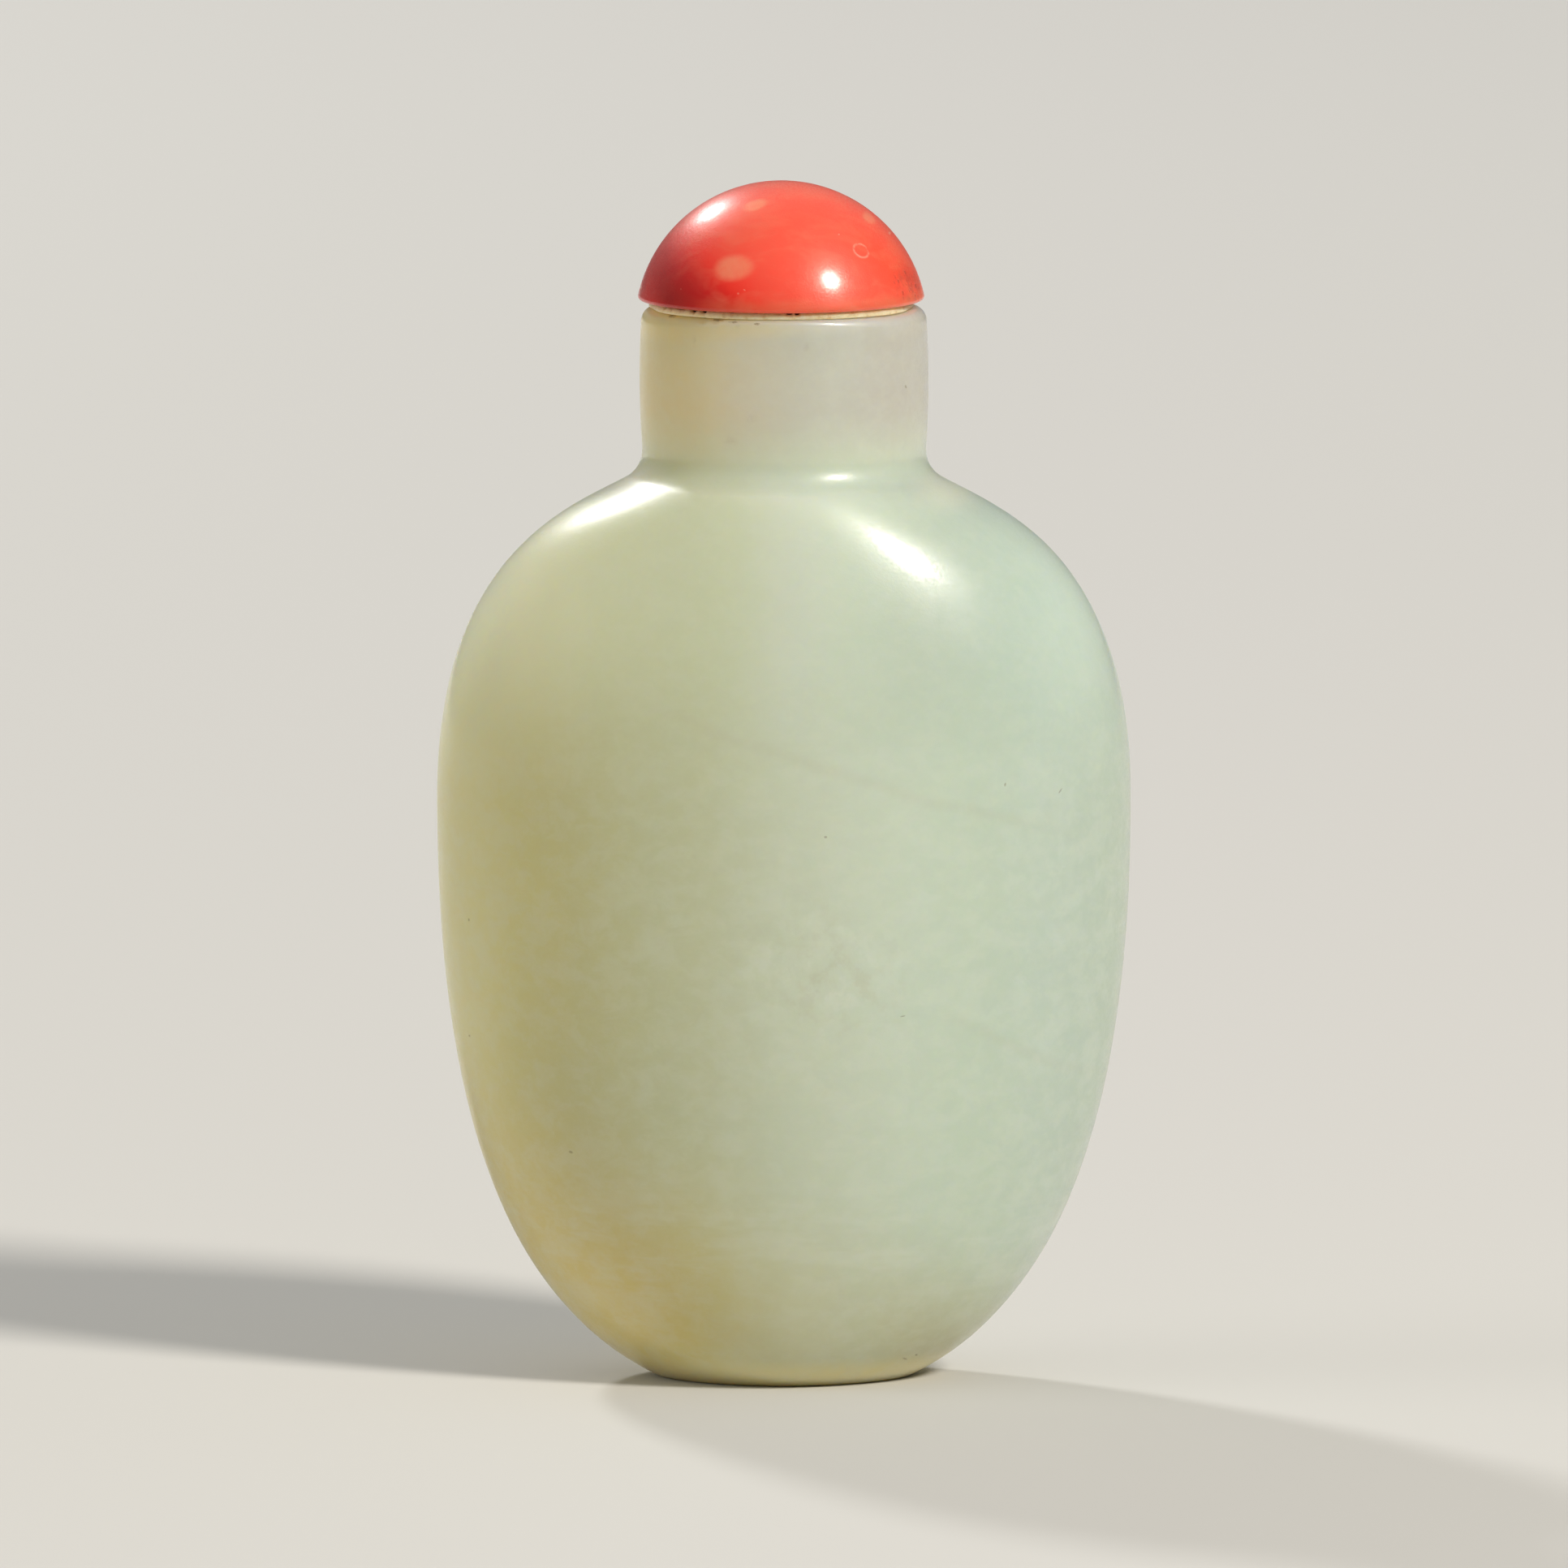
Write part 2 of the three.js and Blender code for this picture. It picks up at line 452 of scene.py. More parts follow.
        # The rows of colours carry painted light and shade as well as the stone's own tone.
        f.colour = f.bands(across, self.belly)
        f.lay(upper, f.bands(across, self.shoulder))
        f.lay(z.ease(*self.neck_rise), f.bands(x, self.neck))
        # The clean green of the shoulder fades slowly up the neck.
        fading = z.ease(*self.green_rise) * z.ease(*self.green_end)
        f.lay(fading * self.green_share, self.green_root)
        # Honey-coloured skin left round the foot.
        rising = height + x * self.foot_lean
        f.lay(rising.ease(*self.foot_fall), f.bands(across, self.foot))
        # Painted light: both sides of the neck's root are lightened, against the shade in the crease between
        # neck and shoulder.
        root = f.any_of(self.painted_root_lights, soft=0.9)
        f.lay(root * self.painted_root_light_share, self.painted_root_light)
        # Painted light: the foot's lowest edge is lightened, against the shade where it meets the floor.
        f.lay(z.ease(*self.painted_foot_light_fall, 0, self.painted_foot_light_share), self.painted_foot_light)
        # Years of snuff have warmed the lip; its colours are also lightened as painted light, against the
        # shade under the cap.
        warmed_and_lit = (z + x * self.lip_lean).ease(*self.lip_rise, 0, self.lip_share)
        f.lay(warmed_and_lit, f.bands(x, self.lip))

    def cloud(self, f: Finish, x: Level, z: Level) -> None:
        """The milky clouds, flecks and healed cracks inside the stone.

        Args:
            f: The finish that they go into.
            x: The place from side to side.
            z: The height.
        """
        # Cottony, felted fibres, closest together in the lower half, milkier in streaks near the foot.
        lower = z.ease(44, 26, 0.4, 1.0)
        cotton = f.cloud(self.cotton_mm, 4, 0.6, stretch=(1.3, 1, 0.9), shift=1.3, distort=0.4)
        f.lay(cotton.ease(0.4, 0.66) * lower * self.cotton_share, self.milk)
        streak = f.cloud(self.streak_mm, 3, 0.6, stretch=(4, 2, 0.6), shift=4.4).ease(0.45, 0.65)
        low = z.ease(14, 9) * z.ease(3.5, 7)
        f.lay(streak * low * self.streak_share, self.milk)
        # One patch in the middle is cloudier, with a few tan specks.
        patch = f.near(self.cloudy_patch, soft=1.0)
        fleck = f.cloud(self.fleck_mm, 4, 0.65, shift=8.8)
        f.lay(fleck.ease(0.52, 0.64, 0, self.milk_fleck_share) * patch, self.milk)
        f.lay(fleck.ease(0.5, 0.36, 0, self.tan_fleck_share) * patch, self.vein)
        # Two healed cracks, seen as faint lines that slope down to the right.
        for level, slope, left, right in self.cracks:
            wobble = (f.cloud(9, 2, shift=level) - 0.5) * 2.0
            plane = z + x * slope + wobble
            line = abs(plane - level).ease(self.crack_half_width, 0.0)
            span = x.ease(left - 2, left + 4) * x.ease(right + 2, right - 4)
            f.lay(line * span * self.crack_share, self.vein)

    def material(self) -> bpy.types.Material:
        """Build the jade.

        Returns:
            The material.
        """
        f = Finish("celadon_nephrite")
        fibre = f.cloud(self.fibre_mm, 4, 0.65, stretch=(1.5, 1, 1), shift=7.7)
        felted = fibre.ease(0.35, 0.7, 0.0, self.fibre_share)
        x, z = f.axis("X"), f.axis("Z")
        self.ground(f, x, z)
        self.cloud(f, x, z)
        # Brown marks on the lip's top close under the cap's edge, broken up by a fine cloud.
        brown_mark = f.any_of(self.lip_marks, soft=0.5)
        worn = f.cloud(0.25, 3, 0.6, shift=9.5).ease(0.38, 0.6, 0.15, 0.75)
        f.lay(brown_mark * worn, self.brown_mark)
        smudge = f.any_of(self.smudges, soft=1.0)
        f.lay(smudge * worn * self.smudge_share, self.brown_mark)
        f.lay(felted, self.milk)
        nick = f.any_of(self.nicks, soft=0.6)
        f.lay(nick * self.nick_share, self.dark_fill)
        # A hand polish is glossy, with the last scratches of the grit still in it, so a highlight
        # has a bright middle and a speckled halo.
        grain = f.cloud(self.grain_mm, 2, 0.6, shift=2.2)
        roughness = grain.ease(0.36, 0.66, *self.roughness).largest(nick * 0.6)
        height = grain + fibre * 1.5 - nick * self.nick_depth
        values = {
            "IOR": 1.61,
            "Specular IOR Level": 0.4,
            "Coat Weight": 0.5,
            "Coat Roughness": 0.1,
            "Coat IOR": 1.5,
            "Subsurface Weight": 1.0,
            "Subsurface Radius": (5.0 * MM, 4.0 * MM, 2.2 * MM),
        }
        return f.close(roughness, height, self.relief_mm, values)


@dataclass(frozen=True)
class PreciousCoral:
    """Red coral, turned to a dome and buffed: glassy, with pale growth flecks and open pores at the edge."""

    # Colours across the branch, in millimetres from its dark heart to its outside. The dark end is also
    # painted shade, for the side that faces away from the key light.
    branch: Stops = (
        (-7.2, "#a80400"), (-6.4, "#b00200"), (-5.5, "#be0300"), (-4.5, "#cc0602"), (-3.5, "#dc1608"),
        (-2.4, "#ee2c18"), (-1.2, "#f8402b"), (0, "#fb4e38"), (2.5, "#fb5941"), (6, "#f85840"),
        (8, "#ee4c28"),
    )
    # How much the branch leans over the dome, from this height.
    branch_lean: float = 1.05
    branch_height: float = 61.4
    crown: str = "#f85b42"
    crown_rise: Span = (62.5, 67)
    glow: str = "#e2744c"
    glow_share: float = 0.35
    # Painted light: a lighter red on the far -X edge, against the shade on that side.
    rim: str = "#d8281c"
    painted_edge_light_share: float = 0.6
    pale: str = "#f7946f"
    streak_mm: float = 1.5
    streak_share: float = 0.16
    grain_mm: float = 0.7
    # Pale growth marks and how strongly each shows.
    pale_marks: tuple[tuple[Mark, float], ...] = (
        (Mark((-2.8, -6.6, 63.1), (1.42, 1.5, 0.92), -4), 0.75),
        (Mark((-1.6, -3.6, 66.3), (0.9, 1.0, 0.4), -20), 0.75),
        (Mark((4.75, -1.8, 65.4), (0.55, 1.4, 0.35), 40), 0.7),
        (Mark((-3.6, -7.1, 61.55), (0.7, 1.2, 0.32), 25), 0.13),
    )
    # Open pores gather at one stretch of the lower edge.
    pore: str = "#8a2a10"
    pore_spacing_mm: float = 0.42
    pore_share: float = 0.6
    pored: Mark = Mark((7.0, -2.9, 61.8), (1.7, 2.4, 1.3), 20)
    pored_share: float = 0.4
    # A round scar, and tiny pale specks in the polish.
    pale_speck: str = "#ffb79c"
    scar: Mark = Mark((4.3, -4.95, 63.9), (0.5, 0.5, 0.42))
    scar_half_width: float = 0.25
    nicks: tuple[Mark, ...] = (
        Mark((1.7, -5.2, 64.8), (0.07, 0.5, 0.07)),
        Mark((3.05, -5.0, 64.8), (0.06, 0.5, 0.06)),
        Mark((-2.55, -7.6, 61.75), (0.1, 0.5, 0.09)),
        Mark((-2.2, -7.6, 61.95), (0.12, 0.5, 0.06), 30),
        Mark((-5.75, -5.7, 61.8), (0.07, 0.5, 0.08)),
        Mark((6.3, -4.3, 62.9), (0.1, 0.5, 0.16), -20),
        Mark((5.9, -1.2, 64.5), (0.12, 0.6, 0.12)),
        Mark((-7.9, -0.8, 61.4), (0.2, 0.5, 0.14)),
        Mark((-7.95, -0.6, 61.0), (0.2, 0.5, 0.12)),
    )
    nick_share: float = 0.5
    # The lathe's finest scratches, drawn as coarse as they have to be to show.
    fine_mm: float = 0.12
    roughness: Span = (0.3, 0.5)
    relief_mm: float = 0.007

    def material(self) -> bpy.types.Material:
        """Build the coral.

        Returns:
            The material.
        """
        f = Finish("precious_coral")
        x, z = f.axis("X"), f.axis("Z")
        wander = f.wander(size_mm=4, shift=5.0, far_mm=2.5)
        # The branch's dark heart shows low on one side, deepened there with painted shade.
        rise = (z - self.branch_height) * self.branch_lean
        across = x + wander + rise
        upper = z.ease(*self.crown_rise)
        f.colour = f.bands(across, self.branch)
        f.lay(upper, self.crown)
        # Thin at its lower edge, the coral glows a little warmer.
        edge = z.ease(61.7, 60.9) * x.ease(-5.4, -3.5)
        f.lay(edge * self.glow_share, self.glow)
        # Painted light: the far -X edge is lifted to a lighter red, against the shade on that side.
        f.lay(x.ease(-6.2, -7.6, 0, self.painted_edge_light_share), self.rim)
        # Growth layers: soft streaks that lean across the branch.
        streak = f.cloud(self.streak_mm, 3, 0.55, stretch=(2.2, 1, 0.8), shift=12.5, distort=0.8)
        streak = streak.ease(0.42, 0.68, 0, self.streak_share) * across.ease(-6, -2, 0.2, 1.0)
        f.lay(streak, self.pale)
        grain = f.cloud(self.grain_mm, 4, 0.6, shift=2.0)
        first, *others = [f.near(mark, soft=0.55) * amount for mark, amount in self.pale_marks]
        pale = first.largest(*others) * grain.ease(0.2, 0.6, 0.7, 1.0)
        f.lay(pale, self.pale)
        distance = f.pores(self.pore_spacing_mm, shift=4.0)
        worn = f.near(self.pored, soft=0.7)
        pores = distance.ease(0.4, 0.15) * worn
        f.lay(worn * grain.ease(0.35, 0.6, 0, self.pored_share), self.pore)
        f.lay(pores * self.pore_share, self.pore)
        ring = abs(f.reach(self.scar) - 1.0).ease(self.scar_half_width, 0.0)
        ring = ring * f.cloud(0.5, 3, 0.6, shift=7.0).ease(0.38, 0.6, 0.1, 1.0)
        nick = ring.largest(*(f.near(mark, soft=0.7) for mark in self.nicks))
        f.lay(nick * self.nick_share, self.pale_speck)
        # Buffed, with the lathe's finest scratches still under the polish, so a highlight has a
        # glassy middle and a broad, speckled halo.
        fine = f.cloud(self.fine_mm, 2, 0.7, shift=6.0)
        roughness = fine.ease(0.36, 0.66, *self.roughness).largest(pores * 0.6)
        dents = (pores + nick * 0.5) * 6.0
        height = fine * 1.3 + grain - dents
        values = {
            "IOR": 1.5,
            "Specular IOR Level": 0.75,
            # The body's red comes back a little in its gloss.
            "Specular Tint": linear("#ffb8ae"),
            "Coat Weight": 0.65,
            "Coat Roughness": 0.17,
            "Coat IOR": 1.5,
            "Subsurface Weight": 0.9,
            "Subsurface Radius": (2.0 * MM, 0.6 * MM, 0.4 * MM),
        }
        return f.close(roughness, height, self.relief_mm, values)


@dataclass(frozen=True)
class OldCorkAndWax:
    """Pale cork under a film of old wax: dry and matt, lightened as painted light, and darkened where its
    edge has crumbled.
    """

    # These colours are paler than the cork's own tone: painted light for the light that reaches the shaded
    # gap under the cap through the stone.
    bark: str = "#f0cea2"
    wax: str = "#f6dab4"
    pit: str = "#dbb283"
    break_dark: str = "#1f0f08"
    break_dark_share: float = 0.95
    grain_mm: float = 0.5
    roughness: Span = (0.6, 0.9)
    relief_mm: float = 0.03
    # Near-black in the breaks of the washer's edge, close under the cap.
    breaks: tuple[Mark, ...] = ()

    def material(self) -> bpy.types.Material:
        """Build the cork.

        Returns:
            The material.
        """
        f = Finish("old_cork_and_wax")
        grain = f.cloud(self.grain_mm, 4, 0.7, shift=1.0)
        f.colour = linear(self.pit)
        f.lay(grain.ease(0.3, 0.5), self.bark)
        f.lay(grain.ease(0.5, 0.7), self.wax)
        dark_fill = f.any_of(self.breaks, soft=0.3)
        f.lay(dark_fill * self.break_dark_share, self.break_dark)
        roughness = grain.ease(0.3, 0.7, *self.roughness)
        values = {
            "IOR": 1.45,
            "Subsurface Weight": 1.0,
            "Subsurface Radius": (0.8 * MM, 0.6 * MM, 0.4 * MM),
        }
        return f.close(roughness, grain, self.relief_mm, values)


# ---- Outlines ----

Outline = np.ndarray
Point = Sequence[float] | np.ndarray


def polar(centre: Point, distance: float, angle: float) -> np.ndarray:
    """The point at a distance from another, in the direction of an angle from the radius."""
    return np.array([centre[0] + distance * math.cos(angle), centre[1] + distance * math.sin(angle)])


def arc(centre: Point, radius: float, start: float, end: float, steps: int) -> Outline:
    """Points along an arc, both ends included."""
    angles = np.linspace(start, end, steps + 1)
    return np.c_[centre[0] + radius * np.cos(angles), centre[1] + radius * np.sin(angles)]


def bezier(a: Point, b: Point, c: Point, d: Point, steps: int) -> Outline:
    """Points along a cubic Bezier curve, both ends included.

    Args:
        a: Where it starts.
        b: The handle of the start.
        c: The handle of the end.
        d: Where it ends.
        steps: How many pieces it is cut into.

    Returns:
        The points.
    """
    t = np.linspace(0, 1, steps + 1)[:, None]
    a, b, c, d = (np.asarray(p, float) for p in (a, b, c, d))
    return (1 - t) ** 3 * a + 3 * (1 - t) ** 2 * t * b + 3 * (1 - t) * t**2 * c + t**3 * d


def chain(*runs: Outline) -> Outline:
    """String runs of points end to end, without doubling the points where they meet."""
    return np.concatenate([runs[0], *(run[1:] for run in runs[1:])])


def put(name: str, data: bpy.types.ID) -> bpy.types.Object:
    """Put a mesh, light or camera into the scene as an object."""
    thing = bpy.data.objects.new(name, data)
    bpy.context.scene.collection.objects.link(thing)
    return thing


def aim(thing: bpy.types.Object, direction: Vector, front: str) -> None:
    """Turn an object so that one of its axes, such as -Z, points in a direction."""
    thing.rotation_mode = "QUATERNION"
    thing.rotation_quaternion = direction.to_track_quat(front, "Y")


def closed_loft(name: str, rings: np.ndarray, first: Point, last: Point) -> bpy.types.Object:
    """Skin a stack of rings, closed at both ends by a point.

    Args:
        name: The object's name.
        rings: Points as rings x sectors x 3, in metres.
        first: The point that closes the first ring.
        last: The point that closes the last ring.

    Returns:
        The smooth-shaded object.
    """
    count, sectors, _ = rings.shape
    points = np.concatenate([rings.reshape(-1, 3), [first], [last]])
    index = np.arange(count * sectors).reshape(count, sectors)
    beside = np.roll(index, -1, axis=1)
    quads = np.stack([index[:-1], beside[:-1], beside[1:], index[1:]], -1).reshape(-1, 4)
    pole = count * sectors
    bottom = [(pole, b, a) for a, b in zip(index[0], beside[0])]
    top = [(pole + 1, a, b) for a, b in zip(index[-1], beside[-1])]
    mesh = bpy.data.meshes.new(name)
    mesh.from_pydata(points.tolist(), [], [*quads.tolist(), *bottom, *top])
    mesh.validate()
    mesh.shade_smooth()
    return put(name, mesh)


def ripple(points: np.ndarray, size: float, shift: float = 0.0) -> np.ndarray:
    """Smooth random values at points.

    Args:
        points: Any array of points, in millimetres.
        size: Width of one ripple.
        shift: Moves the pattern.

    Returns:
        A value from about -1 to 1 for each point.
    """
    places = points.reshape(-1, 3) / size + shift
    values = [noise.noise(Vector(p)) for p in places.tolist()]
    return np.array(values).reshape(points.shape[:-1])


def outward(rings: np.ndarray) -> np.ndarray:
    """Unit normals of a stack of rings that runs up the outside of a solid.

    Args:
        rings: Points as rings x sectors x 3.

    Returns:
        A normal for each point.
    """
    along = np.gradient(rings, axis=0)
    around = np.roll(rings, -1, axis=1) - np.roll(rings, 1, axis=1)
    normals = np.cross(around, along)
    return normals / np.maximum(np.linalg.norm(normals, axis=-1, keepdims=True), 1e-12)


def fade(values: np.ndarray, start: float, end: float) -> np.ndarray:
    """Map values smoothly from the range start..end to 0..1."""
    t = np.clip((values - start) / (end - start), 0, 1)
    return t * t * (3 - 2 * t)


# ---- Sub-assemblies ----


def middle_of(node: str) -> float:
    """How far a CAD node stands off the axis along X, in millimetres."""
    return sum(corner.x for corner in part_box(node)) / 2 / MM


@dataclass(frozen=True)
class Curve:
    """A long side of the jade: the height of its widest point and the lengths of its Bezier handles."""

    height: float
    below: float
    at_foot: float
    above: float
    at_shoulder: float


@dataclass
class Piece:
    """What every piece of the object shares: the CAD node it stands for, its slot and its finish."""

    node: str
    slot_name: str
    finish: CeladonNephrite | PreciousCoral | OldCorkAndWax

    def dress(self, thing: bpy.types.Object) -> None:
        """Give a piece its material, hang it under the root and hide the CAD part that it stands for.

        Args:
            thing: The finished mesh.
        """
        thing.data.materials.append(self.finish.material())
        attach(thing, "root")
        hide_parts(self.node)
        log.info("%s: %d faces", thing.name, len(thing.data.polygons))


@dataclass
class JadeBody(Piece):
    """The hollow jade body, from the same outlines as its CAD solid, in millimetres."""

    foot_half_width: float = 6.8
    foot_half_depth: float = 4.6
    foot_edge: float = 1.2
    foot_slope: float = math.radians(26.6)
    # The exponent of the foot's outline: 2 is an ellipse, less is a lens.
    foot_lens: float = 1.8
    front: Curve = Curve(height=32.7, below=21.2, at_foot=7.4, above=14.1, at_shoulder=3.1)
    side: Curve = Curve(height=34.5, below=17.5, at_foot=5.6, above=7.6, at_shoulder=1.0)
    neck_radius: float = 8.1
    swell_height: float = 56.2
    swell_radius: float = 55.0
    fillet_height: float = 52.4
    fillet_radius: float = 1.9
    shoulder_slope: float = math.radians(30.2)
    lip_radius: float = 0.8
    # The lip's edge was left crisper at the front.
    front_lip_radius: float = 0.3
    front_lip_spread: float = math.radians(40)
    bore_radius: float = 3.6
    bore_edge: float = 0.4
    wall: float = 3.6
    floor: float = 6.0
    chamber_top: float = 46.4
    chamber_flare: float = math.radians(33)
    chamber_at_bore: float = 3.5
    chamber_above: float = 10.5
    chamber_side_above: float = 5.4
    chamber_below: float = 17.5
    chamber_at_floor: float = 6.5
    # How small the last ring in the middle of the chamber's floor is.
    chamber_middle: float = 0.4
    # Sectors round the axis, and steps along each part of the outline. The depths are read from
    # side outlines of side_steps.
    sectors: int = 336
    sole_rings: int = 5
    edge_steps: int = 8
    body_steps: int = 84
    fillet_steps: int = 14
    swell_steps: int = 26
    lip_steps: int = 12
    flat_points: int = 6
    chamber_steps: int = 22
    side_steps: int = 400
    # Unevenness of the hand-ground surface, how wide one hollow of it is, and where it ends.
    uneven: float = 0.05
    uneven_size: float = 7.0
    even_foot: Span = (0.6, 4.0)
    even_lip: float = 59.0
    # Chips and hollows: middle, half-lengths and depth.
    chips: tuple[tuple[Mark, float], ...] = (
        (Mark((0.9, -8.0, 59.8), (0.22, 0.5, 0.14)), 0.09),
        (Mark((1.5, -8.0, 59.5), (0.12, 0.5, 0.1)), 0.06),
        (Mark((-4.6, -6.6, 60.1), (0.35, 0.5, 0.2)), 0.1),
        (Mark((-3.9, -7.0, 60.1), (0.3, 0.5, 0.18)), 0.08),
        (Mark((-2.7, -7.6, 59.9), (0.28, 0.5, 0.15)), 0.07),
        (Mark((-1.2, -7.9, 59.9), (0.25, 0.5, 0.12)), 0.06),
        (Mark((3.75, -8.4, 51.7), (0.35, 0.6, 0.14)), 0.06),
        (Mark((6.4, -6.9, 51.2), (0.9, 1.2, 0.7)), 0.05),
        (Mark((6.8, -4.5, 56.2), (0.16, 0.5, 0.25)), 0.05),
    )

    def __post_init__(self) -> None:
        """Take the overall size from the frame and work out the shared fillet."""
        _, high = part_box(self.node)
        self.half_width, self.half_depth = high.x / MM, high.y / MM
        self.height = high.z / MM
        self.swell_centre = np.array([self.neck_radius - self.swell_radius, self.swell_height])
        self.neck_angle = math.asin((self.fillet_height - self.swell_height) / self.swell_radius)
        neck_foot = polar(self.swell_centre, self.swell_radius, self.neck_angle)
        self.fillet_centre = polar(neck_foot, self.fillet_radius, self.neck_angle)
        self.fillet_end = polar(self.fillet_centre, self.fillet_radius, -math.pi / 2 - self.shoulder_slope)

    def body_outline(self, foot_radius: float, widest: float, curve: Curve, steps: int) -> Outline:
        """One outline of the body, from the foot's edge to the fillet.

        Args:
            foot_radius: Where the flat of the foot ends.
            widest: The radius at the belly.
            curve: The belly's height and the lengths of the Bezier handles.
            steps: Points on each of the two long curves.

        Returns:
            The outline as radius and height.
        """
        edge_centre = (foot_radius, self.foot_edge)
        edge_end = -math.pi / 2 + self.foot_slope
        start = polar(edge_centre, self.foot_edge, edge_end)
        belly = (widest, curve.height)
        return chain(
            arc(edge_centre, self.foot_edge, -math.pi / 2, edge_end, self.edge_steps),
            bezier(start, polar(start, curve.at_foot, self.foot_slope),
                   (widest, curve.height - curve.below), belly, steps),
            bezier(belly, (widest, curve.height + curve.above),
                   polar(self.fillet_end, curve.at_shoulder, -self.shoulder_slope), self.fillet_end, steps),
        )

    def neck_outline(self, lip_radius: float) -> Outline:
        """The round part: fillet, swelling side, lip, flat top and the chamfer into the bore.

        Args:
            lip_radius: How round the lip's outer edge is.

        Returns:
            The outline as radius and height.
        """
        lip_height = self.height - lip_radius
        lip_angle = math.asin((lip_height - self.swell_height) / self.swell_radius)
        lip_centre = polar(self.swell_centre, self.swell_radius - lip_radius, lip_angle)
        flat_inner = self.bore_radius + self.bore_edge
        flat = np.linspace((lip_centre[0], self.height), (flat_inner, self.height), self.flat_points)
        return chain(
            arc(self.fillet_centre, self.fillet_radius, 3 * math.pi / 2 - self.shoulder_slope,
                math.pi + self.neck_angle, self.fillet_steps),
            arc(self.swell_centre, self.swell_radius, self.neck_angle, lip_angle, self.swell_steps),
            arc(lip_centre, lip_radius, lip_angle, math.pi / 2, self.lip_steps),
            flat,
            np.array([[flat_inner, self.height], [self.bore_radius, self.height - self.bore_edge]]),
        )

    def chamber_outline(self, widest: float, height: float, above: float, steps: int) -> Outline:
        """One outline of the chamber, from the bore's lower end down to its floor.

        Args:
            widest: The chamber's largest radius.
            height: The height at which it is that wide.
            above: The length of the Bezier handle above that height.
            steps: Points on each of the two curves.

        Returns:
            The outline as radius and height.
        """
        start = np.array([self.bore_radius, self.chamber_top])
        belly = (widest, height)
        return chain(
            bezier(start, polar(start, self.chamber_at_bore, -self.chamber_flare),
                   (widest, height + above), belly, steps),
            bezier(belly, (widest, height - self.chamber_below), (self.chamber_at_floor, self.floor),
                   (self.chamber_middle, self.floor), steps),
        )

    def rings(self) -> np.ndarray:
        """All rings, from the foot over the lip and down to the chamber's floor.

        Returns:
            Points as rings x sectors x 3, in millimetres.
        """
        front = self.body_outline(self.foot_half_width, self.half_width, self.front, self.body_steps)
        side = self.body_outline(self.foot_half_depth, self.half_depth, self.side, self.side_steps)
        depth = np.interp(front[:, 1], side[:, 1], side[:, 0])
        lens = self.foot_lens + (2 - self.foot_lens) * fade(front[:, 1], 0, self.fillet_end[1])
        neck = self.neck_outline(self.lip_radius)[1:]
        inner = self.chamber_outline(
            self.half_width - self.wall, self.front.height, self.chamber_above, self.chamber_steps)
        inner_side = self.chamber_outline(
            self.half_depth - self.wall, self.side.height, self.chamber_side_above, self.side_steps)[::-1]
        inner_depth = np.interp(inner[:, 1], inner_side[:, 1], inner_side[:, 0])
        inner_depth[-1] = inner[-1, 0]
        sole = np.linspace(0.15, 0.9, self.sole_rings)[:, None] * np.array([self.foot_half_width, 0.0])
        sole_depth = sole[:, 0] * self.foot_half_depth / self.foot_half_width
        widths, heights = np.concatenate([sole, front, neck, inner]).T
        depths = np.concatenate([sole_depth, depth, neck[:, 0], inner_depth])
        round_rings = np.full(len(neck) + len(inner), 2.0)
        lenses = np.concatenate([np.full(self.sole_rings, self.foot_lens), lens, round_rings])
        turn = np.linspace(0, 2 * math.pi, self.sectors, endpoint=False)
        circle = np.stack([np.cos(turn), np.sin(turn)])
        across, along = (np.sign(c) * np.abs(c) ** (2 / lenses[:, None]) for c in circle)
        upright = np.repeat(heights[:, None], self.sectors, 1)
        rings = np.stack([widths[:, None] * across, depths[:, None] * along, upright], -1)
        # The lip is moved outwards where its front edge is crisper.
        crisp = self.neck_outline(self.front_lip_radius)[1:] - neck
        share = np.exp(-(((turn - 1.5 * math.pi) / self.front_lip_spread) ** 2))
        collar = rings[len(sole) + len(front) : len(sole) + len(front) + len(neck)]
        collar[..., :2] += (crisp[:, :1] * share)[..., None] * circle.T
        collar[..., 2] += crisp[:, 1:] * share
        # Only the outside is worn. It ends on the lip's flat, before the chamfer into the bore.
        outside = len(sole) + len(front) + len(neck) - 2
        rings[:outside] -= self.wear(rings[:outside])
        return rings

    def wear(self, rings: np.ndarray) -> np.ndarray:
        """What hand grinding and use have taken off the outside.

        Args:
            rings: The outside's points, in millimetres.

        Returns:
            How far each point moves inwards.
        """
        ripples = 0.5 + 0.5 * ripple(rings, self.uneven_size, shift=11.0)
        ends = fade(rings[..., 2], *self.even_foot) * fade(rings[..., 2], self.height, self.even_lip)
        depth = self.uneven * ripples * ends
        for mark, deep in self.chips:
            reach = np.linalg.norm((rings - mark.middle) / np.array(mark.size), axis=-1)
            ragged = 1 + 0.35 * ripple(rings, size=0.15, shift=deep * 90)
            depth = depth + deep * fade(reach * ragged, 1.0, 0.3)
        return outward(rings) * depth[..., None]

    def build(self) -> None:
        """Make the jade body and dress it."""
        floor = (0, 0, self.floor * MM)
        self.dress(closed_loft("jade_body", self.rings() * MM, (0, 0, 0), floor))


